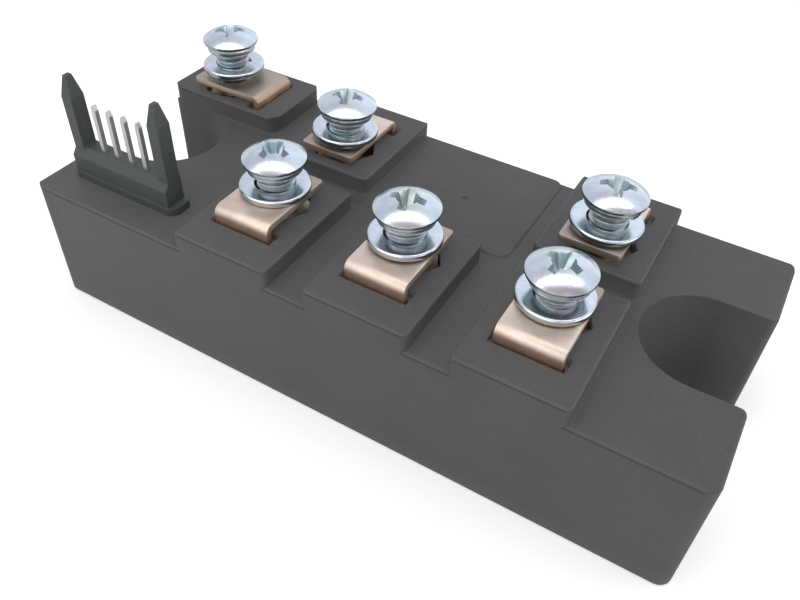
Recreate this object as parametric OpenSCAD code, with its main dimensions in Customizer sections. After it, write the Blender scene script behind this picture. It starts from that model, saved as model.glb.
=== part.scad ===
// Power module in a moulded case: metal base plate, two insulated substrates,
// six folded screw terminals and a four-pin control header.
// Frame: Z up from the heat sink face, X along the length, origin at the middle of the underside.

/* [Case] */
// length of the moulded case, end to end
case_l = 95; // [90:0.5:110]
// width of the moulded case
case_w = 41; // [39:0.2:50]
// height of the low top face
low_h = 19.3; // [18:0.1:21]
// height of the raised terminal pads
pad_h = 21.9; // [20.5:0.1:22.4]
// rise of the shallow table in the middle of the top
table_rise = 0.2; // [0.05:0.05:1]
// radius of the upright corners
corner_r = 1.8; // [0.6:0.1:3]
// radius along the top edges
edge_r = 0.45; // [0.2:0.05:1]
// thickness of the outer walls
wall = 2; // [1.6:0.1:2.6]
// underside of the moulded roof
roof_z = 16.2; // [15:0.1:16.5]

/* [Mounting] */
// width of each open end slot
slot_w = 15.8; // [14:0.1:18]
// depth of each end slot
slot_d = 14.5; // [12.5:0.1:16]
// distance between the two mounting holes
hole_pitch = 80; // [76:0.5:84]
// diameter of each mounting hole
hole_d = 6.4; // [5.4:0.1:6.8]
// thickness of the base plate
plate_t = 3; // [2:0.1:4]
// bare margin of case wall left round the base plate
plate_inset = 1.4; // [1:0.1:1.8]

/* [Terminals] */
// distance from one terminal to the next along a row
pitch = 19.6; // [18:0.1:21]
// position of the middle terminal from the middle of the case
mid_x = 4.8; // [0:0.1:6]
// width of a pad
pad_w = 14.3; // [12:0.1:15]
// width of a terminal strip
strip_w = 8.3; // [7:0.1:9]
// thickness of a terminal strip
strip_t = 1; // [0.6:0.1:1.2]
// height of the upper face of a strip
strip_z = 24; // [23.5:0.1:26]
// length of a strip from its fold to its free end
strip_l = 12.45; // [11.8:0.05:13]
// distance from the fold to the screw hole
strip_hole = 7.8; // [7.4:0.1:8]
// outer radius of the fold
fold_r = 1.2; // [1.1:0.1:1.8]

/* [Hardware] */
// thread diameter of the terminal screws
screw_d = 5; // [4:1:5]
// length of the terminal screws under the head
screw_l = 12; // [11:0.5:13]
// diameter of the screw head
head_d = 8.3; // [8:0.1:9]
// height of the widest part of the head above its underside
rim_h = 0.45; // [0.3:0.05:0.8]
// height of the whole head
head_h = 1.95; // [1.8:0.05:2.6]
// outer diameter of the flat washer
washer_d = 9.4; // [9:0.1:10]
// thickness of the flat washer
washer_t = 0.85; // [0.6:0.05:1]
// outer diameter of the spring washer
lock_d = 7.2; // [7:0.1:7.6]
// thickness of the spring washer
lock_t = 1.3; // [1:0.1:1.5]
// distance across the flats of the nut
nut_af = 8; // [7:1:8]
// thickness of the nut
nut_t = 4; // [3:0.1:4]

/* [Control header] */
// distance between neighbouring pins
pin_pitch = 2.54; // [2:0.01:2.54]
// side of a square pin
pin_s = 0.64; // [0.5:0.02:0.7]
// height of the pin tips
pin_z = 31; // [28:0.1:34]
// height of the guide posts
post_z = 34.3; // [30:0.1:38]
// how much taller the inner guide post is
post_more = 0.6; // [0:0.1:1.5]
// distance between the guide posts
post_pitch = 15; // [14:0.1:16]

/* [Hidden] */
$fn = 64;
eps = 0.01;
hx = case_l/2;
hy = case_w/2;
slot_r = slot_w/2;
slot_x = hx - slot_d + slot_r;          // centre of the round end of a slot
nose_f = -hy + 4.9;                    // fold line of the front strips
nose_b = hy - 4.4;                      // fold line of the back strips
turned = [-hx + 16.05, 13.5];            // fold line and middle of the turned strip
// screw axes: three in front, then the turned one, then two at the back
axes = [[mid_x - pitch, nose_f + strip_hole], [mid_x, nose_f + strip_hole],
        [mid_x + pitch, nose_f + strip_hole], [turned[0] - strip_hole, turned[1]],
        [mid_x - pitch, nose_b - strip_hole], [mid_x + pitch, nose_b - strip_hole]];
// the screws are only started: how high each head sits, where its flat washer rides,
// how far that washer has slipped sideways, and the small lean of the screw in degrees
head_z = [28.2, 28.45, 27.9, 29.15, 28.1, 28.45];
ride_z = [24.06, 24.3, 24.2, 24.9, 24.2, 24.2];
slip = [-0.16, -0.16, -0.14, 0.12, -0.2, -0.08];
lean_a = [-0.3, -1, -1, 0.2, 2, 1.7];
lean_v = [-0.507, 0.862, 0];
cross_a = [-8, 10.5, -16, 38, 17, 15];
split_a = [120, 100, 318, 140, 110, 325];
// how far the back strips are pressed down below the front ones, and how far each stands off its screw
press = [0, 0, 0, 0.45, 0.45, 0.25];
skew = [0, 0, 0, 0, 0.2, 0.35];
pocket_z = 16.7;
nut_z = 16.9;
// stack of the insulated substrates on the base plate
cu_t = 0.3;
cer_t = 0.7;
die_t = 0.25;
z_cer = plate_t + cu_t;
z_cu = z_cer + cer_t;
z_die = z_cu + cu_t;
z_top = z_die + die_t;
sub_l = 28.5;
sub_w = 31.2;
gel_z = 10.5;
// control header
head_x = -hx + 12.15;
head_y = -hy + 6.55;
pins_x = [for (i = [0:3]) head_x + (i - 1.5)*pin_pitch];
pin_run = [7.4, 9.4, 11.4, 13.4];
pin_to = [-27.6, -25, -22.4, -19.8];
// dice: x, y
igbts = [[-13.9, -5.6], [-13.9, 4.2]];
diodes = [[-5, -6], [-5, 4.5], [19, -4.5], [19, 4.5]];

// flat outline with rounded corners, built from squares and circles so that every edge stays true
module rrect(l, w, r) {
    square([l - 2*r, w], center = true);
    square([l, w - 2*r], center = true);
    for (x = [-1, 1], y = [-1, 1]) translate([x*(l/2 - r), y*(w/2 - r)]) circle(r);
}

// side profile with its two upper corners rounded
module top_rounded(l, h, r) {
    translate([-l/2 + r, 0]) square([l - 2*r, h]);
    translate([-l/2, 0]) square([l, h - r]);
    for (x = [-1, 1]) translate([x*(l/2 - r), h - r]) circle(r);
}

// block with rounded upright corners and rounded upper edges
module soft_block(l, w, h, rc, rt) {
    intersection() {
        linear_extrude(h) rrect(l, w, rc);
        rotate([90, 0, 0]) linear_extrude(w, center = true) top_rounded(l, h, rt);
        rotate([90, 0, 90]) linear_extrude(l, center = true) top_rounded(w, h, rt);
    }
}

// plan of one end slot, grown by g; side is -1 for the left end and 1 for the right
module slot_plan(side, g = 0) {
    translate([side*slot_x, 0]) circle(slot_r + g);
    translate([side*(slot_x + slot_d), 0]) square([2*slot_d, slot_w + 2*g], center = true);
}

// small round that takes the edge off the inner corner of each wing
module wing_round(r) {
    for (sx = [-1, 1], sy = [-1, 1]) translate([sx*(hx - r), sy*(slot_r + r)])
        difference() {
            translate([sx*(r + 1)/2, -sy*(r + 1)/2]) square([r + 1, r + 1], center = true);
            circle(r);
        }
}

// one pad: x and y of its two opposite edges
module pad(x0, x1, y0, y1) {
    translate([(x0 + x1)/2, (y0 + y1)/2, roof_z + 0.5])
        soft_block(x1 - x0, y1 - y0, pad_h - roof_z - 0.5, 0.8, edge_r);
}

module pads() {
    for (i = [-1:1]) {
        x = mid_x + i*pitch + 0.1;
        pad(x - pad_w/2, x + pad_w/2, -hy, -hy + 19.6);
        if (i != 0) pad(x - pad_w/2, x + pad_w/2, 2.35, hy);
    }
    // the left back wing is a pad of its own
    intersection() {
        translate([-hx + 10, (hy + slot_r)/2, roof_z + 0.5])
            soft_block(20, hy - slot_r, pad_h - roof_z - 0.5, corner_r, edge_r);
        linear_extrude(pad_h + 1) rrect(case_l, case_w, corner_r);
    }
}

// shallow table between the back pads
module table() {
    x0 = mid_x - pitch + pad_w/2 - 2;
    translate([(x0 + 14.9)/2, (hy + 0.4)/2, low_h - 1])
        linear_extrude(1 + table_rise) rrect(14.9 - x0, hy - 0.4 - 0.02, 1.6);
}

module inner_plan() {
    difference() {
        rrect(case_l - 2*wall, case_w - 2*wall, 1);
        for (s = [-1, 1]) slot_plan(s, wall - 0.2);
    }
}

// room left under the roof, without the bosses that hold the screw tips
module hollow() {
    difference() {
        translate([0, 0, plate_t - eps]) linear_extrude(roof_z - plate_t + eps) inner_plan();
        for (a = axes) translate([a[0], a[1], 12.6]) cylinder(h = 10, r = 5.2);
    }
}

// a shallow mouth with room round the strip, over a close passage down to the hollow
module strip_slot(i) {
    translate([-strip_w/2 - 0.5, -0.35, pad_h - 1]) cube([strip_w + 1, 2.3, 5]);
    translate([skew[i] - strip_w/2 - 0.1, -0.1, roof_z - 2]) cube([strip_w + 0.2, strip_t + 0.3, 8]);
}

module at_strip(i) {
    if (i < 3) translate([axes[i][0], nose_f, 0]) children();
    else if (i == 3) translate([turned[0], turned[1], 0]) rotate([0, 0, 90]) children();
    else translate([axes[i][0], nose_b, 0]) rotate([0, 0, 180]) children();
}

module case() {
    color([0.235, 0.23, 0.24])
    difference() {
        union() {
            translate([0, 0, 0.3]) soft_block(case_l, case_w, low_h - 0.3, corner_r, edge_r);
            pads();
            table();
        }
        for (s = [-1, 1]) translate([0, 0, -1]) linear_extrude(pad_h + 2) slot_plan(s);
        translate([0, 0, -1]) linear_extrude(pad_h + 2) wing_round(1);
        // seat for the base plate
        translate([0, 0, -1]) linear_extrude(plate_t + 1)
            rrect(case_l - 2*plate_inset + 0.3, case_w - 2*plate_inset + 0.3, 2);
        hollow();
        for (i = [0:5]) {
            at_strip(i) strip_slot(i);
            translate([axes[i][0], axes[i][1], pocket_z])
                cylinder(h = 10, r = (nut_af + 0.3)/2/cos(30), $fn = 6);
            translate([axes[i][0], axes[i][1], 13.4]) cylinder(h = 4, r = 3);
        }
        // seat for the control header
        translate([head_x, head_y, roof_z + 2]) cube([17.4, 3, 10], center = true);
        // moulding gate mark on the table
        translate([4.6, 9.3, low_h + table_rise - 0.25]) cylinder(h = 1, r = 0.45);
    }
}

module base_plate() {
    color([0.72, 0.71, 0.68])
    difference() {
        linear_extrude(plate_t) rrect(case_l - 2*plate_inset, case_w - 2*plate_inset, 1.85);
        for (s = [-1, 1]) translate([s*hole_pitch/2, 0, -1]) cylinder(h = plate_t + 2, d = hole_d);
    }
}

module ceramic(side) {
    color([0.93, 0.92, 0.88])
    translate([side*(sub_l/2 + 1.1), 0, z_cer]) linear_extrude(cer_t) square([sub_l, sub_w], center = true);
}

module bonding_copper() {
    color([0.75, 0.45, 0.3])
    for (s = [-1, 1]) translate([s*(sub_l/2 + 1.1), 0, plate_t])
        linear_extrude(cu_t) rrect(sub_l - 1, sub_w - 1, 0.6);
}

// copper island from its two opposite corners
module island(x0, y0, x1, y1) {
    translate([(x0 + x1)/2, (y0 + y1)/2, z_cu]) linear_extrude(cu_t) rrect(x1 - x0, y1 - y0, 0.4);
}

module circuit_copper() {
    color([0.8, 0.5, 0.34]) {
        island(-18.2, -15.2, -1.8, -1.1);
        island(-18.2, -0.3, -1.8, 15.2);
        island(-28.9, 7.4, -19.4, 15.2);
        island(1.8, -15.2, 14.2, -1.8);
        island(1.8, -0.9, 14.2, 15.2);
        island(15.2, -15.2, 28.9, 15.2);
        reach = [6.2, 4.2, -4, -2];
        for (i = [0:3]) island(pin_to[i] - 0.9, -15.2, pin_to[i] + 0.9, reach[i]);
    }
}

module igbt_die(i) {
    color([0.45, 0.46, 0.5])
    translate([igbts[i - 1][0], igbts[i - 1][1], z_die + die_t/2]) cube([8, 8, die_t], center = true);
}

module diode_die(i) {
    color([0.5, 0.51, 0.54])
    translate([diodes[i - 1][0], diodes[i - 1][1], z_die + die_t/2]) cube([5, 5, die_t], center = true);
}

// arched wire along X from x0, on a die, to x1; drop is how far the far end stands below the die
module wire(x0, x1, y, drop = 0) {
    r = abs(x1 - x0)/2;
    translate([(x0 + x1)/2, y, z_top]) rotate([90, 0, 0])
        rotate_extrude(angle = 180) translate([r, 0]) circle(0.15, $fn = 16);
    if (drop > 0) translate([x1, y, z_top - drop]) cylinder(h = drop, r = 0.15, $fn = 16);
}

module bond_wires() {
    color([0.82, 0.82, 0.83]) {
        for (k = [-1:1]) {
            wire(-10.6, -6.9, -6 + 2*k);
            wire(-3.1, 2.8, -6 + 1.7*k, die_t);
            wire(-10.6, -6.9, 4.5 + 2*k);
            wire(-3.1, 2.8, 4.5 + 1.7*k, die_t);
            wire(17.2, 12.8, -4.5 + 1.6*k, die_t);
            wire(17.2, 12.8, 4.5 + 1.6*k, die_t);
        }
        wire(-17.4, -19.8, -3, die_t);
        wire(-17.4, -22.4, -5, die_t);
        wire(-17.4, -25, 3, die_t);
        wire(-17.4, -27.6, 5, die_t);
    }
}

module silicone_gel() {
    color([0.85, 0.88, 0.9, 0.4])
    difference() {
        translate([0, 0, plate_t]) linear_extrude(gel_z - plate_t) inner_plan();
        for (s = [-1, 1]) ceramic(s);
        bonding_copper();
        circuit_copper();
        for (i = [1, 2]) igbt_die(i);
        for (i = [1:4]) diode_die(i);
        bond_wires();
        for (i = [0:5]) terminal(i + 1);
        for (i = [0:3]) signal_pin(i + 1);
    }
}

// bent strip seen from its edge: fold at the origin, free end along the first axis, upper face at z
module strip_edge(z) {
    translate([fold_r, z - strip_t]) square([strip_l - fold_r, strip_t]);
    translate([fold_r, z - fold_r]) intersection() {
        difference() {
            circle(fold_r);
            circle(fold_r - strip_t);
        }
        translate([-fold_r - 1, 0]) square([fold_r + 1, fold_r + 1]);
    }
    translate([0, roof_z - 1.2]) square([strip_t, z - fold_r - roof_z + 1.2]);
}

// hidden leg and foot: way is 1 when the foot runs under the strip, -1 when it runs away from it
module leg_edge(way) {
    r = 1.5;
    z0 = z_die;
    translate([0, z0 + r]) square([strip_t, roof_z - 1 - z0 - r]);
    translate([way > 0 ? 0 : strip_t, 0]) scale([way, 1]) {
        translate([r, z0 + r]) intersection() {
            difference() {
                circle(r);
                circle(r - strip_t);
            }
            translate([-r - 1, -r - 1]) square([r + 1, r + 1]);
        }
        translate([r, z0]) square([way > 0 ? 3.4 : 5.2, strip_t]);
    }
}

module terminal(n) {
    i = n - 1;
    turn = i == 3;
    color([0.78, 0.7, 0.66])
    at_strip(i) difference() {
        union() {
            intersection() {
                translate([skew[i], 0, 0]) rotate([90, 0, 90])
                    linear_extrude(strip_w, center = true) strip_edge(strip_z - press[i]);
                translate([skew[i], strip_l/2 - 2, 0]) linear_extrude(30) rrect(strip_w, strip_l + 4, 0.5);
            }
            translate([turn ? -1 : 0, 0, 0]) rotate([90, 0, 90])
                linear_extrude(4.4, center = true) leg_edge(turn ? -1 : 1);
        }
        translate([0, strip_hole, strip_z - 3]) cylinder(h = 6, d = 5.9);
    }
}

// four-sided pointed post standing on the low top face
module post(w, d, h) {
    c = 2.9;
    module face(s, t) polygon([[-s/2, 0], [s/2, 0], [s/2, h - c], [t/2, h], [-t/2, h], [-s/2, h - c]]);
    intersection() {
        rotate([90, 0, 0]) linear_extrude(d + 2, center = true) face(w, 0.7);
        rotate([90, 0, 90]) linear_extrude(w + 2, center = true) face(d, 0.9);
    }
}

module control_header() {
    color([0.2, 0.21, 0.2])
    difference() {
        union() {
            translate([head_x - 17.4/2, head_y - 1.5, roof_z]) cube([17.4, 3, low_h - roof_z]);
            translate([head_x, head_y, low_h]) linear_extrude(1.1) rrect(18.6, 4, 1.4);
            translate([head_x, head_y, low_h]) rotate([90, 0, 90]) linear_extrude(post_pitch + 1.7, center = true)
                polygon([[-1.8, 0], [1.25, 0], [1.25, 4.8], [-0.85, 4.8], [-1.8, 3.6]]);
            for (s = [-1, 1]) translate([head_x + s*post_pitch/2, head_y, low_h])
                post(1.7, 2.2, post_z - low_h + (s > 0 ? post_more : 0));
        }
        for (x = pins_x) translate([x, head_y, 20]) cube([pin_s, pin_s, 20], center = true);
    }
}

module signal_pin(n) {
    i = n - 1;
    x = pins_x[i];
    h = pin_s/2;
    zr = pin_run[i];
    xt = pin_to[i];
    color([0.8, 0.8, 0.82])
    translate([0, head_y + h, 0]) rotate([90, 0, 0]) linear_extrude(pin_s) {
        polygon([[x - h, zr - h], [x + h, zr - h], [x + h, pin_z - 0.7], [x + 0.12, pin_z],
                 [x - 0.12, pin_z], [x - h, pin_z - 0.7]]);
        translate([x - h, zr - h]) square([xt - x + 2*h, pin_s]);
        translate([xt - h, z_die]) square([pin_s, zr + h - z_die]);
        translate([xt - h - 0.5, z_die]) square([pin_s + 1, 0.5]);
    }
}

// carries each screw stack to its axis and gives it its small lean about the middle of the nut
module stack(i) {
    m = nut_z + nut_t/2;
    translate([axes[i][0], axes[i][1], m]) rotate(a = lean_a[i], v = lean_v) translate([0, 0, -m]) children();
}

module hex_nuts() {
    rc = nut_af/2/cos(30);
    color([0.78, 0.68, 0.42])
    for (i = [0:5]) stack(i) translate([0, 0, nut_z]) difference() {
        intersection() {
            cylinder(h = nut_t, r = rc, $fn = 6);
            rotate_extrude() polygon([[0, 0], [rc - 0.5, 0], [rc + 0.1, 0.35], [rc + 0.1, nut_t - 0.35],
                                      [rc - 0.5, nut_t], [0, nut_t]]);
        }
        translate([0, 0, -1]) cylinder(h = nut_t + 2, d = screw_d);
    }
}

module flat_washers() {
    color([0.8, 0.82, 0.85])
    for (i = [0:5]) stack(i) translate([slip[i]*lean_v[1], -slip[i]*lean_v[0], ride_z[i]]) difference() {
        cylinder(h = washer_t, d = washer_d);
        translate([0, 0, -1]) cylinder(h = washer_t + 2, d = screw_d + 0.5);
    }
}

module lock_washers() {
    color([0.7, 0.72, 0.74])
    for (i = [0:5]) stack(i) translate([0, 0, head_z[i] - lock_t]) rotate([0, 0, split_a[i]])
        rotate_extrude(angle = 348) translate([screw_d/2 + 0.05, 0]) square([lock_d/2 - screw_d/2 - 0.05, lock_t]);
}

// arm of the cross recess seen from its side
module arm_edge() {
    polygon([[-2.5, 0.1], [2.5, 0.1], [2.45, 0], [1.5, -1.3], [0.5, -2.3], [-0.5, -2.3], [-1.5, -1.3], [-2.45, 0]]);
}

// half section of the head: narrow underside, widest just above it, then a low dome
module head_section() {
    r = head_d/2;
    rise = head_h - rim_h;
    dome_r = (r*r + rise*rise)/2/rise;
    intersection() {
        translate([0, head_h - dome_r]) circle(dome_r, $fn = 128);
        polygon([[0, 0], [r - 0.15, 0], [r, 0.12], [r, rim_h + 0.05], [0, head_h + r]]);
    }
}

module screws() {
    color([0.83, 0.85, 0.88])
    for (i = [0:5]) stack(i) translate([0, 0, head_z[i]]) difference() {
        union() {
            rotate_extrude() head_section();
            translate([0, 0, 0.8 - screw_l]) cylinder(h = screw_l - 0.8 + 0.2, d = screw_d);
            translate([0, 0, -screw_l]) cylinder(h = 0.8, d1 = screw_d - 1.4, d2 = screw_d);
        }
        for (k = [0, 90]) translate([0, 0, head_h]) rotate([90, 0, cross_a[i] + k])
            linear_extrude(1.05, center = true) arm_edge();
    }
}

case();
base_plate();
ceramic(-1);  // ceramic_left
ceramic(1);  // ceramic_right
bonding_copper();
circuit_copper();
igbt_die(1);  // igbt_die_1
igbt_die(2);  // igbt_die_2
diode_die(1);  // diode_die_1
diode_die(2);  // diode_die_2
diode_die(3);  // diode_die_3
diode_die(4);  // diode_die_4
bond_wires();
silicone_gel();
terminal(1);  // terminal_1
terminal(2);  // terminal_2
terminal(3);  // terminal_3
terminal(4);  // terminal_4
terminal(5);  // terminal_5
terminal(6);  // terminal_6
control_header();
signal_pin(1);  // signal_pin_1
signal_pin(2);  // signal_pin_2
signal_pin(3);  // signal_pin_3
signal_pin(4);  // signal_pin_4
hex_nuts();
flat_washers();
lock_washers();
screws();
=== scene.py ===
# A power switching module as it leaves its tray: a charcoal moulded case over a metal base plate,
# six folded copper terminals with their screws only started, and a small four-pin control header.
# Everything is built in metres in the part's own frame. Sizes of the module's pieces are written
# in millimetres, and the places and sizes of the card and the lamps in metres.
import math

import bmesh
import bpy
from mathutils import Matrix, Vector


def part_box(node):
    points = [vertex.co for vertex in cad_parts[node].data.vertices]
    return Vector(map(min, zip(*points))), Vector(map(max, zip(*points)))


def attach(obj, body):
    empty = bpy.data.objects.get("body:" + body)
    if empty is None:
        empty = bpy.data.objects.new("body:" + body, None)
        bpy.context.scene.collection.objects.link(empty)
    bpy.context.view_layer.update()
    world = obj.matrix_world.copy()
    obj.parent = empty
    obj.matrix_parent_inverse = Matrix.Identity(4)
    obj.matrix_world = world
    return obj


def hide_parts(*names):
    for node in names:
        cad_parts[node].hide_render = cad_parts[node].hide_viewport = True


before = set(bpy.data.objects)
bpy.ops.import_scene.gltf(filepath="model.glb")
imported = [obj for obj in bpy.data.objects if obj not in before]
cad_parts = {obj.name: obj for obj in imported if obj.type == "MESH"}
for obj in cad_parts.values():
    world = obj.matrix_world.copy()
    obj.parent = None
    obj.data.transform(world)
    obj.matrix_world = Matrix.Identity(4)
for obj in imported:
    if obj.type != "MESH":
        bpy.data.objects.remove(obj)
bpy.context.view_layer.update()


# ---------------------------------------------------------------- table, light and camera
# The module lies on a white card under a long diffuser that hangs over it from side to side,
# in a pale room. The card and the room stay white to the eye and give a soft contact shadow.
mm = 0.001


def bare_material(name):
    """a new material, its node tree and its main shader"""
    made = bpy.data.materials.new(name)
    made.use_nodes = True
    return made, made.node_tree, made.node_tree.nodes["Principled BSDF"]


def joined(tree, kind, links=(), **settings):
    """a shader node with its settings, and (input, output) links made at once"""
    node = tree.nodes.new(kind)
    for key, value in settings.items():
        setattr(node, key, value)
    for socket, source in links:
        tree.links.new(source, node.inputs[socket])
    return node


def reckoned(tree, operation, *values):
    """arithmetic on other nodes' outputs"""
    return joined(tree, "ShaderNodeMath", enumerate(values), operation=operation).outputs[0]


def along(tree, place, direction):
    """how far a place or a direction reaches along the one given"""
    made = joined(tree, "ShaderNodeVectorMath", [(0, place)], operation="DOT_PRODUCT")
    made.inputs[1].default_value = direction
    return made.outputs["Value"]


def spread(tree, value, low, high, out_low=0.0, out_high=1.0, curve="LINEAR"):
    """a value between low and high, taken over to out_low and out_high and held beyond them"""
    made = joined(tree, "ShaderNodeMapRange", [("Value", value)], interpolation_type=curve)
    for name, number in (("From Min", low), ("From Max", high),
                         ("To Min", out_low), ("To Max", out_high)):
        made.inputs[name].default_value = number
    return made.outputs[0]


def blend(tree, factor, first, second):
    """mix of two colours, each a colour or another node's output"""
    made = joined(tree, "ShaderNodeMix", [("Factor", factor)], data_type="RGBA")
    for name, value in (("A", first), ("B", second)):
        if isinstance(value, tuple):
            made.inputs[name].default_value = (*value, 1)
        else:
            tree.links.new(value, made.inputs[name])
    return made.outputs["Result"]


def white_card():
    """the sheet of card that the module lies on"""
    bpy.ops.mesh.primitive_plane_add(size=6, location=(0, 0, 0))
    card = bpy.context.object
    card.name = "card"
    paper, tree, surface = bare_material("white_card")
    surface.inputs["Base Color"].default_value = (0.88, 0.87, 0.845, 1)
    surface.inputs["Roughness"].default_value = 0.9
    surface.inputs["Specular IOR Level"].default_value = 0.1
    # the card stays white to the eye out to its far edges, where the lamps reach less
    spot = tree.nodes.new("ShaderNodeNewGeometry").outputs["Position"]
    reach = joined(tree, "ShaderNodeVectorMath", [(0, spot)], operation="LENGTH")
    lift = spread(tree, reach.outputs["Value"], 0.15, 0.6, 0.38, 0.8)
    seen = tree.nodes.new("ShaderNodeLightPath").outputs["Is Camera Ray"]
    glow = joined(tree, "ShaderNodeEmission", [("Strength", reckoned(tree, "MULTIPLY", seen, lift))])
    both = joined(tree, "ShaderNodeAddShader", [(0, surface.outputs[0]), (1, glow.outputs[0])])
    tree.links.new(both.outputs[0], tree.nodes["Material Output"].inputs["Surface"])
    card.data.materials.append(paper)


def room_walls(tree, where):
    """colour of the room from the card up to the ceiling"""
    split = joined(tree, "ShaderNodeSeparateXYZ", [(0, where)])
    walls = joined(tree, "ShaderNodeValToRGB", [("Fac", split.outputs["Z"])])
    colours = ((0.0, (0.80, 0.82, 0.84)), (0.35, (0.66, 0.70, 0.78)),
               (0.70, (0.74, 0.79, 0.90)), (1.0, (0.66, 0.66, 0.70)))
    for height, _ in colours[1:-1]:
        walls.color_ramp.elements.new(height)
    for stop, (_, colour) in zip(walls.color_ramp.elements, colours):
        stop.color = (*colour, 1)
    return walls.outputs["Color"]


def pale_room():
    """the room as the bright metal mirrors it, plain white where it is looked at"""
    room = bpy.data.worlds.new("pale_room")
    room.use_nodes = True
    tree = room.node_tree
    sky = tree.nodes["Background"]
    where = tree.nodes.new("ShaderNodeTexCoord").outputs["Generated"]
    seen = tree.nodes.new("ShaderNodeLightPath")
    across = along(tree, where, (0.861, 0.507, 0))
    toward = along(tree, where, (0.507, -0.861, 0))
    # the room is lighter towards its right and along its far side
    lit = room_walls(tree, where)
    for direction, start, end, low, high in ((across, -0.3, 0.4, 0.86, 1.16),
                                             (toward, -0.45, -0.68, 1.0, 1.22)):
        scale = spread(tree, direction, start, end, low, high)
        lit = joined(tree, "ShaderNodeVectorMath", [(0, lit), ("Scale", scale)],
                     operation="SCALE").outputs[0]
    # a dull stand leans over the card along its near side
    stand = None
    for direction, start, end in ((toward, 0.09, 0.16), (toward, 0.52, 0.44),
                                  (across, -0.8, -0.6), (across, 0.95, 0.75)):
        side = spread(tree, direction, start, end, curve="SMOOTHSTEP")
        stand = side if stand is None else reckoned(tree, "MULTIPLY", stand, side)
    view = blend(tree, stand, lit, (0.44, 0.375, 0.375))
    view = blend(tree, seen.outputs["Is Camera Ray"], view, (1, 1, 1))
    tree.links.new(view, sky.inputs["Color"])
    # what is looked at or mirrored keeps full strength, and what only lights the part is lower
    tree.links.new(spread(tree, seen.outputs["Is Diffuse Ray"], 0, 1, 1.0, 0.8), sky.inputs["Strength"])
    bpy.context.scene.world = room


def lamp(name, shape, place, aim, size, power, tint=(1, 1, 1)):
    """a flat lamp of a width and depth in metres and a power in watts"""
    data = bpy.data.lights.new(name, "AREA")
    data.shape = shape
    data.size, data.size_y = size
    data.energy = power
    data.color = tint
    made = bpy.data.objects.new(name, data)
    bpy.context.scene.collection.objects.link(made)
    made.location = place
    made.rotation_mode = "QUATERNION"
    made.rotation_quaternion = (Vector(aim) - Vector(place)).to_track_quat("-Z", "Y")
    return made


def camera():
    """it stands in front of the right end, and looks down on the module"""
    data = bpy.data.cameras.new("camera")
    data.sensor_width = 36
    data.lens = 35.14
    data.clip_start = 0.005
    data.clip_end = 20
    made = bpy.data.objects.new("camera", data)
    bpy.context.scene.collection.objects.link(made)
    place = Vector((39.62, -73.09, 84.25)) * mm
    side = Vector((0.8614, 0.5066, 0.0368))
    up = Vector((-0.3731, 0.5818, 0.7227))
    ahead = Vector((-0.3447, 0.6363, -0.6901))
    made.matrix_world = Matrix.Translation(place) @ Matrix((side, up, -ahead)).transposed().to_4x4()
    bpy.context.scene.camera = made


white_card()
pale_room()
camera()
# the diffuser runs across the view, above the near edge of the module
diffuser = lamp("diffuser", "ELLIPSE", (0.008, -0.017, 0.42), (0.008, -0.017, 0),
                (0.74, 0.15), 0.50, (1, 0.98, 0.99))
diffuser.rotation_mode = "XYZ"
diffuser.rotation_euler = (0, 0, math.radians(28.4))
# a wide window stands in front, and puts the broad light on the folds of the strips
lamp("window", "RECTANGLE", (-0.25, -0.80, 0.64), (0, 0, 0.01), (1.4, 0.58), 3.6, (1, 1, 0.97))
# a low pale panel off to the right lifts the end faces
lamp("panel", "RECTANGLE", (0.60, 0.05, 0.12), (0, 0, 0.015), (0.5, 0.2), 0.6)
bpy.context.scene.view_settings.view_transform = "Standard"


# ---------------------------------------------------------------- base plate
# A rolled copper plate, nickel plated and stamped, drilled for two mounting screws.
# It is glued into the foot of the case and shows in the end slots and from below.
def millimetres(tree):
    """place on the piece, in millimetres"""
    where = tree.nodes.new("ShaderNodeTexCoord").outputs["Object"]
    big = joined(tree, "ShaderNodeVectorMath", [(0, where)], operation="SCALE")
    big.inputs["Scale"].default_value = 1000
    return big.outputs[0]


def noise(tree, place, scale, detail=3, rough=0.55, stretch=None):
    """cloudy noise, which a stretch turns into streaks"""
    if stretch:
        place = joined(tree, "ShaderNodeMapping", [("Vector", place)])
        place.inputs["Scale"].default_value = stretch
        place = place.outputs[0]
    made = joined(tree, "ShaderNodeTexNoise", [("Vector", place)])
    made.inputs["Scale"].default_value = scale
    made.inputs["Detail"].default_value = detail
    made.inputs["Roughness"].default_value = rough
    return made.outputs["Fac"]


def coated(tree, surface, colour, roughness, metal=0):
    """give the main shader its colour and roughness"""
    tree.links.new(colour, surface.inputs["Base Color"])
    tree.links.new(roughness, surface.inputs["Roughness"])
    surface.inputs["Metallic"].default_value = metal


def bump(tree, surface, height, depth, strength, normal=None):
    """relief of a depth in millimetres"""
    made = joined(tree, "ShaderNodeBump", [("Height", height)])
    made.inputs["Distance"].default_value = depth * mm
    made.inputs["Strength"].default_value = strength
    if normal:
        tree.links.new(normal, made.inputs["Normal"])
    tree.links.new(made.outputs[0], surface.inputs["Normal"])


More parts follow.
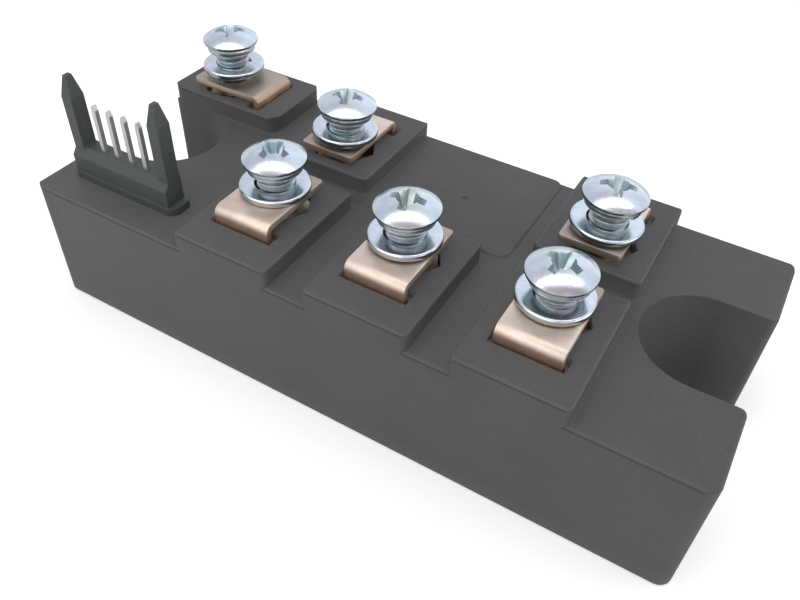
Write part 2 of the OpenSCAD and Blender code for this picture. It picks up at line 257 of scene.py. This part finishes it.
def soft_edges_group():
    """rounded shading over sharp edges, and a mask of where those edges are"""
    group = bpy.data.node_groups.new("soft_edges", "ShaderNodeTree")
    group.interface.new_socket("Radius", in_out="INPUT", socket_type="NodeSocketFloat")
    group.interface.new_socket("Normal", in_out="OUTPUT", socket_type="NodeSocketVector")
    group.interface.new_socket("Edge", in_out="OUTPUT", socket_type="NodeSocketFloat")
    given = group.nodes.new("NodeGroupInput")
    result = group.nodes.new("NodeGroupOutput")
    bevel = joined(group, "ShaderNodeBevel", [("Radius", given.outputs["Radius"])], samples=4)
    flat = group.nodes.new("ShaderNodeNewGeometry")
    match = joined(group, "ShaderNodeVectorMath",
                   [(0, bevel.outputs[0]), (1, flat.outputs["True Normal"])], operation="DOT_PRODUCT")
    group.links.new(bevel.outputs[0], result.inputs["Normal"])
    group.links.new(spread(group, match.outputs["Value"], 0.985, 0.8), result.inputs["Edge"])
    return group


soft_edges = soft_edges_group()


def softened(tree, radius):
    """the soft_edges group at a radius in millimetres"""
    made = joined(tree, "ShaderNodeGroup", node_tree=soft_edges)
    made.inputs["Radius"].default_value = radius * mm
    return made


def clothe(piece, *materials):
    """take the piece's materials off, and put these on"""
    piece.data.materials.clear()
    for material in materials:
        piece.data.materials.append(material)


plate_finish, tree, surface = bare_material("nickel_plate")
place = millimetres(tree)
rolled = noise(tree, place, 0.9, 4, 0.6, (1, 14, 1))
nickel = blend(tree, noise(tree, place, 0.09, 2), (0.60, 0.59, 0.56), (0.70, 0.69, 0.65))
coated(tree, surface, nickel, spread(tree, rolled, 0.3, 0.7, 0.30, 0.46), metal=1)
bump(tree, surface, rolled, 0.01, 0.5, softened(tree, 0.2).outputs["Normal"])
clothe(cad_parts["base_plate"], plate_finish)


# ---------------------------------------------------------------- moulded case
# One injection moulding in charcoal glass-filled plastic with a fine eroded texture.
# Its top edges have a painted highlight above a painted shade line, and its broad faces are faintly
# clouded.
def tilt(tree):
    """1 on faces that look up, 0 on upright ones"""
    normal = tree.nodes.new("ShaderNodeNewGeometry").outputs["True Normal"]
    return joined(tree, "ShaderNodeSeparateXYZ", [(0, normal)]).outputs["Z"]


def band(tree, value, start, full, over, end):
    """1 where the value lies between full and over, fading out to start and end"""
    return reckoned(tree, "MULTIPLY", spread(tree, value, start, full), spread(tree, value, end, over))


def charcoal(tree, place, fibres, grain):
    """the colour of the plastic, with painted light that pales it towards the header's corner"""
    clouds = noise(tree, place, 0.07, 3)
    patches = noise(tree, place, 0.5, 3)
    specks = noise(tree, place, 1.7, 1, 0.5)
    # painted light: the plastic is painted paler towards the header's corner
    corner = along(tree, place, (-1, -2, 0))
    body = blend(tree, spread(tree, clouds, 0.3, 0.7), (0.0745, 0.0748, 0.0705), (0.0905, 0.0908, 0.0862))
    body = blend(tree, spread(tree, corner, 25, 80, 0, 0.85), body, (0.108, 0.109, 0.102))
    body = blend(tree, spread(tree, patches, 0.4, 0.65, 0, 0.3), body, (0.092, 0.083, 0.086))
    body = blend(tree, spread(tree, fibres, 0.5, 0.8, 0, 0.4), body, (0.124, 0.122, 0.118))
    body = blend(tree, spread(tree, grain, 0.5, 0.25, 0, 0.3), body, (0.055, 0.056, 0.052))
    return blend(tree, spread(tree, specks, 0.76, 0.82, 0, 0.4), body, (0.22, 0.22, 0.21))


def painted_edge_light(tree, body, edge):
    """a painted highlight on the rounded top edges, and a painted shade line where they run into the walls
    """
    up = tilt(tree)
    # painted highlight: faces of the rounded top edges that tilt up are painted lighter
    rolled = band(tree, up, 0.45, 0.7, 0.97, 0.999)
    edge_highlight = reckoned(tree, "MULTIPLY", edge, band(tree, up, 0.3, 0.6, 1, 1.1))
    edge_highlight = reckoned(tree, "MAXIMUM", edge_highlight, rolled)
    body = blend(tree, spread(tree, edge_highlight, 0, 1, 0, 0.1), body, (0.2, 0.2, 0.195))
    # painted shade: a thin line on the walls just under the top edges is painted darker
    dull = reckoned(tree, "MULTIPLY", edge, band(tree, up, -0.2, 0, 0.2, 0.4))
    dull = reckoned(tree, "MAXIMUM", dull, band(tree, up, 0.02, 0.08, 0.45, 0.6))
    return blend(tree, spread(tree, dull, 0, 0.7, 0, 0.55), body, (0.028, 0.029, 0.026))


def painted_fill_light(tree, body):
    """painted fill light, which pales the corners and most of all the slots beside the strips"""
    shelter = joined(tree, "ShaderNodeAmbientOcclusion", samples=8)
    shelter.inputs["Distance"].default_value = 6 * mm
    open_sky = shelter.outputs["AO"]
    # painted fill light: hollows are painted paler, the more so the deeper they are
    body = blend(tree, spread(tree, open_sky, 0.8, 0.35, 0, 0.75), body, (0.155, 0.152, 0.147))
    return blend(tree, spread(tree, open_sky, 0.4, 0.15, 0, 0.8), body, (0.30, 0.30, 0.28))


case_finish, tree, surface = bare_material("charcoal_moulding")
place = millimetres(tree)
edges = softened(tree, 0.3)
fibres = noise(tree, place, 1.4, 5, 0.65)
grain = noise(tree, place, 7.0, 4, 0.6)
body = painted_edge_light(tree, charcoal(tree, place, fibres, grain), edges.outputs["Edge"])
coated(tree, surface, painted_fill_light(tree, body), spread(tree, grain, 0.25, 0.75, 0.5, 0.66))
surface.inputs["Specular IOR Level"].default_value = 0.35
bump(tree, surface, reckoned(tree, "ADD", grain, fibres), 0.018, 0.7, edges.outputs["Normal"])
clothe(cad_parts["case"], case_finish)


# ---------------------------------------------------------------- substrates, dice and gel
# Ceramic tiles bonded with copper on both faces, silicon soldered on top, and aluminium
# wires welded between them, all flooded with clear gel. None of it shows from outside.
def plain_finish(name, dark, light, rough, metal=0, scale=1.0):
    """one colour with soft patches, darker and lighter"""
    made, tree, surface = bare_material(name)
    patches = noise(tree, millimetres(tree), scale, 3)
    coated(tree, surface, blend(tree, patches, dark, light),
           spread(tree, patches, 0.3, 0.7, rough - 0.06, rough + 0.06), metal)
    bump(tree, surface, patches, 0.01, 0.4)
    return made


alumina = plain_finish("alumina", (0.82, 0.81, 0.77), (0.9, 0.89, 0.86), 0.6)
bare_copper = plain_finish("bare_copper", (0.62, 0.30, 0.18), (0.74, 0.40, 0.26), 0.4, 1, 0.6)
silicon = plain_finish("silicon", (0.25, 0.26, 0.30), (0.34, 0.35, 0.39), 0.25, 1, 0.8)
wire_metal = plain_finish("aluminium_wire", (0.74, 0.74, 0.75), (0.86, 0.86, 0.87), 0.3, 1, 3)
gel_finish = plain_finish("clear_gel", (0.74, 0.78, 0.8), (0.82, 0.86, 0.88), 0.1)
for finish, nodes in ((alumina, ("ceramic_left", "ceramic_right")),
                      (bare_copper, ("bonding_copper", "circuit_copper")),
                      (silicon, ("igbt_die_1", "igbt_die_2", "diode_die_1", "diode_die_2",
                                 "diode_die_3", "diode_die_4")),
                      (wire_metal, ("bond_wires",)),
                      (gel_finish, ("silicone_gel",))):
    for node in nodes:
        clothe(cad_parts[node], finish)


# ---------------------------------------------------------------- terminals
# Six strips stamped from 1 mm copper, tin plated, and folded over by hand once the nut is in.
# The flat is satin with faint rolling lines, and below the fold the plating is thin and brown.
strip_width = 8.3
strip_thick = 1.0
fold = 1.2                                  # outer radius of the fold
hole_radius = 2.95
axis_to_end = 4.65                          # from the screw's axis to the free end
axis_to_fold = 7.8
skews = (0, 0, 0, 0, 0.2, 0.35)             # how far each flat sits to the side of its leg
corner_radius = 0.5                         # of the free end, seen from above
strip_edge = 0.13                           # rounding of all its sharp edges
leg_width = 4.4
leg_top = 15.2
leg_bend = 1.5
leg_overlap = 0.2                           # the flat runs this far down into the leg
foot_reach = 3.4
turned_strip = 4                            # lies crosswise, behind the header
turned_foot_reach = 5.2
turned_leg_shift = -1
foot_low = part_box("terminal_1")[0].z / mm


def clean_mesh(name, verts, faces):
    """mesh with its faces turned outwards"""
    mesh = bpy.data.meshes.new(name)
    mesh.from_pydata([tuple(v) for v in verts], [], faces)
    mesh.update()
    shell = bmesh.new()
    shell.from_mesh(mesh)
    bmesh.ops.recalc_face_normals(shell, faces=shell.faces)
    shell.to_mesh(mesh)
    shell.free()
    return mesh


def added(name, mesh):
    made = bpy.data.objects.new(name, mesh)
    bpy.context.scene.collection.objects.link(made)
    return made


def shade(piece, angle):
    """smooth shading, with creases where faces meet more sharply than the angle"""
    for face in piece.data.polygons:
        face.use_smooth = True
    piece.data.set_sharp_from_angle(angle=math.radians(angle))


def new_piece(name, verts, faces, replaced, smooth=35):
    """a piece that stands for a solid of the frame, and hides that solid"""
    piece = added(name, clean_mesh(name, verts, faces))
    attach(piece, "root")
    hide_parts(replaced)
    shade(piece, smooth)
    return piece


def apply_modifiers(piece):
    done = bpy.data.meshes.new_from_object(piece.evaluated_get(bpy.context.evaluated_depsgraph_get()))
    piece.modifiers.clear()
    piece.data = done


def cut_away(piece, mesh):
    """take a tool's solid out of a piece"""
    tool = added("tool", mesh)
    cut = piece.modifiers.new("cut", "BOOLEAN")
    cut.object = tool
    cut.solver = "EXACT"
    apply_modifiers(piece)
    bpy.data.objects.remove(tool)


def rounded(piece, width, limit=40):
    """round the edges that are sharper than the limit"""
    edge = piece.modifiers.new("rounded", "BEVEL")
    edge.width = width * mm
    edge.segments = 2
    edge.limit_method = "ANGLE"
    edge.angle_limit = math.radians(limit)
    edge.miter_outer = "MITER_ARC"
    apply_modifiers(piece)


def arc(across, up, radius, start, end, steps=8):
    """points on an arc in the side view, angles in degrees"""
    angles = [math.radians(start + (end - start) * i / steps) for i in range(steps + 1)]
    return [(across + radius * math.cos(a), up + radius * math.sin(a)) for a in angles]


def extruded(outline, half):
    """prism from a side view outline, spread to both sides"""
    count = len(outline)
    verts = [(x, y, z) for x in (-half, half) for y, z in outline]
    faces = [tuple(range(count)), tuple(range(2 * count - 1, count - 1, -1))]
    faces += [(i, (i + 1) % count, count + (i + 1) % count, count + i) for i in range(count)]
    return verts, faces


def strip_flat(strip_top):
    """the part that shows, seen from its edge with the fold at the origin"""
    outside = arc(fold, strip_top - fold, fold, 180, 90)
    inside = arc(fold, strip_top - fold, fold - strip_thick, 90, 180, 4)
    end = axis_to_fold + axis_to_end
    low = leg_top - leg_overlap
    return ([(0, low)] + outside + [(end, strip_top), (end, strip_top - strip_thick)]
            + inside + [(strip_thick, low)])


def strip_leg(turned_over):
    """the narrow leg inside the case with its soldered foot"""
    reach = leg_bend + (turned_foot_reach if turned_over else foot_reach)
    heel = arc(leg_bend, foot_low + leg_bend, leg_bend, 180, 270)
    crook = arc(leg_bend, foot_low + leg_bend, leg_bend - strip_thick, 270, 180, 4)
    outline = ([(0, leg_top)] + heel + [(reach, foot_low), (reach, foot_low + strip_thick)]
               + crook + [(strip_thick, leg_top)])
    if turned_over:
        outline = [(strip_thick - y, z) for y, z in outline]
    return outline


def strip_seat(number):
    """a strip's screw axis and its turn in degrees, from its box in the frame"""
    low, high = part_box(f"terminal_{number}")
    to_end = axis_to_end * mm
    if number == turned_strip:
        return Vector((low.x + to_end, (low.y + high.y) / 2, 0)), 90
    middle = (low.x + high.x) / 2
    if number < turned_strip:
        return Vector((middle, high.y - to_end, 0)), 0
    return Vector((middle + skews[number - 1] * mm, low.y + to_end, 0)), 180


def round_corners(piece, back):
    """round the two upright edges at the free end; back leads to the strip's own frame"""
    end = (axis_to_fold + axis_to_end - 0.01) * mm
    shell = bmesh.new()
    shell.from_mesh(piece.data)
    upright = [edge for edge in shell.edges if all((back @ corner.co).y > end for corner in edge.verts)
               and abs(edge.verts[0].co.z - edge.verts[1].co.z) > 0.5 * mm]
    bmesh.ops.bevel(shell, geom=upright, offset=corner_radius * mm, segments=6, profile=0.5,
                    affect="EDGES")
    shell.to_mesh(piece.data)
    shell.free()


def drill(centre):
    """round tool for the hole in the flat"""
    made = bmesh.new()
    bmesh.ops.create_cone(made, cap_ends=True, segments=64, radius1=hole_radius * mm,
                          radius2=hole_radius * mm, depth=4 * mm, matrix=Matrix.Translation(centre))
    mesh = bpy.data.meshes.new("drill")
    made.to_mesh(mesh)
    made.free()
    return mesh


def folded_strip(number, axis, turn, finish):
    """flat and leg in one piece, laid over the screw's axis, with the hole drilled there"""
    name = f"terminal_{number}"
    strip_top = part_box(name)[1].z / mm
    turned_over = number == turned_strip
    flat_verts, faces = extruded(strip_flat(strip_top), strip_width / 2)
    leg_verts, leg_faces = extruded(strip_leg(turned_over), leg_width / 2)
    leg_shift = turned_leg_shift if turned_over else 0
    verts = ([(x + skews[number - 1], y, z) for x, y, z in flat_verts]
             + [(x + leg_shift, y, z) for x, y, z in leg_verts])
    faces += [tuple(i + len(flat_verts) for i in face) for face in leg_faces]
    lay = (Matrix.Translation(axis) @ Matrix.Rotation(math.radians(turn), 4, "Z")
           @ Matrix.Translation((0, -axis_to_fold * mm, 0)))
    strip = new_piece(f"strip_{number}", [lay @ (Vector(v) * mm) for v in verts], faces, name)
    round_corners(strip, lay.inverted())
    cut_away(strip, drill(axis + Vector((0, 0, strip_top * mm))))
    rounded(strip, strip_edge)
    shade(strip, 30)
    clothe(strip, finish)


def copper_finish():
    """tin with stains and rolling lines, darker and greyer in places, and brown copper below the fold"""
    made, tree, surface = bare_material("tinned_copper")
    place = millimetres(tree)
    split = joined(tree, "ShaderNodeSeparateXYZ", [(0, place)])
    stains = spread(tree, noise(tree, place, 0.35, 4, 0.6), 0.3, 0.7)
    rolling = noise(tree, place, 1.6, 3, 0.5, (5, 0.35, 0.35))
    fine = noise(tree, place, 9, 3)
    tin = blend(tree, stains, (0.73, 0.592, 0.492), (0.86, 0.728, 0.615))
    copper = blend(tree, stains, (0.60, 0.37, 0.26), (0.74, 0.50, 0.37))
    # the free ends, which all face the middle, and the whole strip at the far left are darker and greyer
    inward = spread(tree, reckoned(tree, "ABSOLUTE", split.outputs["Y"]), 9.5, 7)
    far_left = spread(tree, split.outputs["X"], -22, -25)
    dulled = spread(tree, reckoned(tree, "MAXIMUM", inward, far_left), 0, 1, 0, 0.9)
    tin = blend(tree, dulled, tin, (0.46, 0.39, 0.325))
    below_fold = spread(tree, split.outputs["Z"], 23.35, 22.5)
    coated(tree, surface, blend(tree, below_fold, tin, copper),
           spread(tree, rolling, 0.3, 0.7, 0.42, 0.56), metal=1)
    bump(tree, surface, reckoned(tree, "ADD", rolling, fine), 0.008, 0.55)
    return made


tinned_copper = copper_finish()
seats = [strip_seat(number) for number in range(1, 7)]
for number, (axis, turn) in enumerate(seats, 1):
    folded_strip(number, axis, turn, tinned_copper)


# ---------------------------------------------------------------- control header
# A small wall with two pointed guide posts, moulded in black plastic and pushed into the case.
# It keeps the four pins apart and guides their plug, and it is smoother than the case.
header_finish, tree, surface = bare_material("black_header_plastic")
place = millimetres(tree)
edges = softened(tree, 0.2)
grain = noise(tree, place, 9.0, 3)
body = blend(tree, noise(tree, place, 0.5, 3), (0.066, 0.074, 0.063), (0.080, 0.089, 0.076))
# painted highlight: every edge of the header is painted lighter
body = blend(tree, spread(tree, edges.outputs["Edge"], 0, 1, 0, 0.35), body, (0.12, 0.125, 0.12))
coated(tree, surface, body, spread(tree, grain, 0.25, 0.75, 0.42, 0.56))
surface.inputs["Specular IOR Level"].default_value = 0.35
bump(tree, surface, grain, 0.01, 0.5, edges.outputs["Normal"])
clothe(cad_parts["control_header"], header_finish)


# ---------------------------------------------------------------- signal pins
# Four square pins cut from drawn and tinned wire, which stand in the header and run down
# through the case to the circuit.
pin_finish, tree, surface = bare_material("tinned_pin")
drawn = noise(tree, millimetres(tree), 2.0, 3, 0.5, (6, 6, 0.4))
coated(tree, surface, blend(tree, drawn, (0.66, 0.66, 0.62), (0.78, 0.78, 0.74)),
       spread(tree, drawn, 0.3, 0.7, 0.38, 0.5), metal=1)
bump(tree, surface, drawn, 0.01, 0.5, softened(tree, 0.08).outputs["Normal"])
for number in range(1, 5):
    clothe(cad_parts[f"signal_pin_{number}"], pin_finish)


# ---------------------------------------------------------------- hex nuts
# Brass-coloured nuts that drop into the pockets under the strips before those are folded.
# They are turned from hexagonal bar and left satin, and only a corner of one or two shows.
# their brass is darkened beyond its own colour, partly painted shade for the deep pockets
nut_finish = plain_finish("yellow_nut", (0.46, 0.42, 0.27), (0.62, 0.57, 0.40), 0.34, 1, 1.5)
clothe(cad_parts["hex_nuts"], nut_finish)


# ---------------------------------------------------------------- flat washers
# Punched from sheet steel and zinc plated, with an upper edge that the punch has rolled.
# Each hangs on the shank of its screw, a little to one side, just over its strip.
# Here and in the next two sections the lists go by screw, in the order of the terminals.
washer_outer = 4.7
washer_inner = 2.66
washer_thick = 0.85
washer_roll = 0.34                          # radius of the rolled edge
washer_heights = (24.06, 24.3, 24.2, 24.9, 24.2, 24.2)
washer_slips = (-0.16, -0.16, -0.14, 0.12, -0.2, -0.08)
leans = (-0.3, -1.0, -1.0, 0.2, 2.0, 1.7)   # of the screws, in degrees
lean_to = Vector((0.862, 0.507, 0))         # the way they lean and the washers slip
nut_middle = 18.9


def zinc_finish(name, dark, light, rough, violet, green, painted_side_shade=0.0):
    """plated steel whose clear passivation shows a faint violet and green bloom,
    and whose upright faces can be painted darker, a painted reflection of the dark case they face"""
    made, tree, surface = bare_material(name)
    place = millimetres(tree)
    clouds = noise(tree, place, 0.8, 3)
    fine = noise(tree, place, 5, 4, 0.6)
    bloom = noise(tree, place, 0.35, 2)
    plating = blend(tree, spread(tree, clouds, 0.3, 0.7), dark, light)
    plating = blend(tree, spread(tree, bloom, 0.48, 0.62, 0, 0.35), plating, violet)
    plating = blend(tree, spread(tree, bloom, 0.47, 0.38, 0, 0.65), plating, green)
    # painted reflection: upright faces are painted darker, as if they mirrored the dark case
    if painted_side_shade:
        level = reckoned(tree, "ABSOLUTE", tilt(tree))
        plating = blend(tree, spread(tree, level, 0.55, 0.3, 0, painted_side_shade), plating, (0.17, 0.20, 0.22))
    coated(tree, surface, plating, spread(tree, fine, 0.3, 0.7, rough - 0.05, rough + 0.07), metal=1)
    bump(tree, surface, fine, 0.012, 0.5)
    return made


zinc_bright = zinc_finish("bright_zinc", (0.64, 0.69, 0.73), (0.75, 0.80, 0.84), 0.2,
                          (0.76, 0.73, 0.84), (0.63, 0.75, 0.75), painted_side_shade=0.6)


def standing(index):
    """from a screw's own axis to its place, with its lean about the middle of the nut"""
    turn_about = Vector((-lean_to.y, lean_to.x, 0))
    lean = Matrix.Rotation(math.radians(leans[index]), 4, turn_about)
    pivot = Matrix.Translation((0, 0, nut_middle * mm))
    return Matrix.Translation(seats[index][0]) @ pivot @ lean @ pivot.inverted()


def turned(section, sides=96, closed=False):
    """solid of revolution from (radius, height) points; an open section starts and ends on the axis"""
    verts, faces, rings = [], [], []
    for radius, height in section:
        if radius < 1e-6:
            rings.append([len(verts)])
            verts.append((0, 0, height))
        else:
            rings.append(list(range(len(verts), len(verts) + sides)))
            angles = [2 * math.pi * i / sides for i in range(sides)]
            verts += [(radius * math.cos(a), radius * math.sin(a), height) for a in angles]
    for low, high in zip(rings, rings[1:] + (rings[:1] if closed else [])):
        for i in range(sides):
            j = (i + 1) % sides
            if len(low) == 1:
                faces.append((low[0], high[j], high[i]))
            elif len(high) == 1:
                faces.append((low[i], low[j], high[0]))
            else:
                faces.append((low[i], low[j], high[j], high[i]))
    return verts, faces


def placed(verts, matrix):
    """points in millimetres, moved to their place in metres"""
    return [matrix @ (Vector(v) * mm) for v in verts]


def washer_section():
    """half of the washer cut through: its foot, its rolled upper edge, and its bore"""
    inner, outer, thick, roll = washer_inner, washer_outer, washer_thick, washer_roll
    foot = [(inner + 0.1, 0), (outer - 0.1, 0), (outer - 0.03, 0.03), (outer, 0.1)]
    edge = [(outer - roll + roll * math.cos(a * math.pi / 12),
             thick - roll + roll * math.sin(a * math.pi / 12)) for a in range(7)]
    bore = [(inner + 0.08, thick), (inner, thick - 0.1), (inner, 0.1)]
    return foot + edge + bore


for index in range(6):
    verts, faces = turned(washer_section(), closed=True)
    slip = lean_to * washer_slips[index] * mm
    move = Matrix.Translation(slip + Vector((0, 0, washer_heights[index] * mm)))
    washer = new_piece(f"flat_washer_{index + 1}", placed(verts, standing(index) @ move), faces,
                       "flat_washers", 50)
    clothe(washer, zinc_bright)


# ---------------------------------------------------------------- spring washers
# One turn of square steel wire, sprung apart at the cut, in a duller zinc that is painted shade under the
# head.
# Each is held captive on its screw, up against the head.
spring_outer = 3.6
spring_inner = 2.56
spring_thick = 1.05
spring_rise = 0.24                          # from one end of the split ring to the other
spring_corner = 0.12
spring_gap = 12                             # degrees left open at the split
split_turns = (120, 100, 318, 140, 110, 325)
head_heights = (28.2, 28.45, 27.9, 29.15, 28.1, 28.45)      # of the seats under the heads

# painted shade: a darker copy of the zinc for the shaded parts under the heads
shaded_dull_zinc = zinc_finish("dull_zinc_painted_shade", (0.42, 0.47, 0.48), (0.56, 0.61, 0.62), 0.30,
                        (0.60, 0.52, 0.55), (0.42, 0.56, 0.54))


def spring_ring():
    """one turn of a square wire with cut corners, open at the split and rising round it"""
    inner, outer, thick, corner = spring_inner, spring_outer, spring_thick, spring_corner
    section = [(inner, corner), (inner + corner, 0), (outer - corner, 0), (outer, corner),
               (outer, thick - corner), (outer - corner, thick), (inner + corner, thick),
               (inner, thick - corner)]
    steps, count = 88, len(section)
    verts = []
    for step in range(steps + 1):
        angle = math.radians(spring_gap / 2 + (360 - spring_gap) * step / steps)
        lift = spring_rise * step / steps
        verts += [(r * math.cos(angle), r * math.sin(angle), z + lift) for r, z in section]
    faces = [(s * count + i, s * count + (i + 1) % count, (s + 1) * count + (i + 1) % count,
              (s + 1) * count + i) for s in range(steps) for i in range(count)]
    faces += [tuple(range(count)), tuple(range(steps * count, (steps + 1) * count))]
    return verts, faces


for index in range(6):
    verts, faces = spring_ring()
    move = (Matrix.Translation((0, 0, (head_heights[index] - spring_thick - spring_rise) * mm))
            @ Matrix.Rotation(math.radians(split_turns[index]), 4, "Z"))
    spring = new_piece(f"spring_washer_{index + 1}", placed(verts, standing(index) @ move), faces,
                       "lock_washers", 50)
    clothe(spring, shaded_dull_zinc)


# ---------------------------------------------------------------- screws
# M5 pan-head screws, cold headed with a cross recess, thread rolled, and bright zinc plated.
# They are only started in their nuts by hand, so they stand high and lean a little.
head_radius = 4.15
head_rise = 1.95
rim = 0.45                                  # height of the upright edge under the crown
dome = (head_radius ** 2 + (head_rise - rim) ** 2) / 2 / (head_rise - rim)    # radius of the crown
head_edge = 0.09
neck_depth = 0.4                            # the plain neck sinks this far into the thread
screw_radius = 2.5
screw_length = 12
point = 0.8                                 # length of the tapered end
point_taper = 0.9                           # how much narrower it gets
thread_pitch = 0.8
thread_depth = 0.42
thread_start = 0.35                         # below the head
recess_reach = 2.7
cross_turns = (-8, 10.5, -16, 38, 17, 15)

# painted shade: the cross recess gets a darker copy of the zinc, for the shade inside it
shaded_recess_zinc = zinc_finish("recess_zinc_painted_shade", (0.46, 0.54, 0.55), (0.58, 0.66, 0.68), 0.36,
                          (0.50, 0.60, 0.70), (0.50, 0.56, 0.49))


def head_section():
    """half of the head cut through: its neck, its edge and its crown"""
    half_angle = math.asin(head_radius / dome)
    crown = [(dome * math.sin(half_angle * i / 24), head_rise - dome + dome * math.cos(half_angle * i / 24))
             for i in range(23, 0, -1)]
    neck = [(0, -neck_depth), (screw_radius - 0.1, -neck_depth), (screw_radius - 0.1, 0)]
    side = [(head_radius - 0.15, 0), (head_radius - 0.04, 0.05), (head_radius, 0.14),
            (head_radius, rim - 0.06), (head_radius - 0.02, rim + 0.03)]
    return neck + side + crown + [(0, head_rise)]


def thread():
    """one ridge wound down the shank, fading out at both ends"""
    sides = 40
    total = sides * int((screw_length - 0.3) / thread_pitch)
    ridge = ((0.0, 0.0), (0.32, 1.0), (0.46, 1.0), (0.78, 0.0))
    count = len(ridge)
    verts, faces = [], []
    for step in range(total + 1):
        angle = 2 * math.pi * step / sides
        fade = min(1, step / (sides * 0.6), (total - step) / (sides * 1.5))
        for along_pitch, lift in ridge:
            radius = screw_radius - thread_depth + thread_depth * lift * fade
            height = -thread_start - thread_pitch * (step / sides + along_pitch)
            verts.append((radius * math.cos(angle), -radius * math.sin(angle), height))
    for step in range(total):
        start = step * count
        faces += [(a, a + 1, a + count + 1, a + count) for a in range(start, start + count - 1)]
        # the root between this ridge and the next one down
        if step + sides <= total:
            a, b = start + count - 1, (step + sides) * count
            faces.append((a, b, b + count, a + count) if b + count < len(verts) else (a, b, a + count))
    return verts, faces


def core():
    """the solid root of the thread with its pointed end"""
    root = screw_radius - thread_depth + 0.01
    return turned([(0, -screw_length), (root - point_taper, -screw_length),
                   (root, -screw_length + point), (root, -0.2), (0, -0.2)], 40)


def cross(reach, width, middle):
    """outline with four square-ended arms that meet in round corners"""
    start = math.atan2(width / 2, math.sqrt(max(middle ** 2 - width ** 2 / 4, 1e-6)))
    angles = [start + (math.pi / 2 - 2 * start) * i / 4 for i in range(5)]
    arm = ([(reach, -width / 2), (reach, width / 2)]
           + [(middle * math.cos(a), middle * math.sin(a)) for a in angles])
    points = []
    for turn in (math.pi / 2 * i for i in range(4)):
        points += [(x * math.cos(turn) - y * math.sin(turn), x * math.sin(turn) + y * math.cos(turn))
                   for x, y in arm]
    return points


def driver():
    """the driver's tip, which narrows downwards: height over the crown, reach, arm width, middle"""
    levels = ((0.3, 2.75, 1.2, 1.55), (-0.35, 2.3, 1.1, 1.35), (-1.2, 1.5, 0.9, 1.05),
              (-1.9, 0.95, 0.72, 0.8), (-2.3, 0.5, 0.5, 0.45))
    verts = [(x, y, head_rise + height) for height, *sizes in levels for x, y in cross(*sizes)]
    count = len(verts) // len(levels)
    faces = []
    for start in range(0, len(verts) - count, count):
        for i in range(count):
            a, b = start + i, start + (i + 1) % count
            faces.append((a, b, b + count, a + count))
    faces += [tuple(range(count)), tuple(range(len(verts) - count, len(verts)))]
    return verts, faces


def in_recess(spot):
    """whether a place on the head lies under the crown's surface, in the cross"""
    reach = spot.xy.length
    crown = head_rise - dome + math.sqrt(dome ** 2 - min(reach, dome) ** 2)
    return reach < recess_reach and 0 < spot.z < crown - 0.05


for index in range(6):
    stand = standing(index) @ Matrix.Translation((0, 0, head_heights[index] * mm))
    verts, faces = turned(head_section())
    screw = new_piece(f"screw_{index + 1}", placed(verts, stand), faces, "screws")
    verts, faces = driver()
    turn = Matrix.Rotation(math.radians(cross_turns[index]), 4, "Z")
    cut_away(screw, clean_mesh("driver", placed(verts, stand @ turn), faces))
    clothe(screw, zinc_bright, shaded_recess_zinc)
    back = stand.inverted()
    for face in screw.data.polygons:
        face.material_index = int(in_recess(back @ face.center / mm))
    rounded(screw, head_edge, 30)
    shade(screw, 32)
    for name, (verts, faces) in (("thread", thread()), ("core", core())):
        shank = new_piece(f"screw_{name}_{index + 1}", placed(verts, stand), faces, "screws",
                          50)
        # the shanks take the same darker zinc, painted shade under the heads
        clothe(shank, shaded_dull_zinc)


# ---------------------------------------------------------------- last update
bpy.context.view_layer.update()
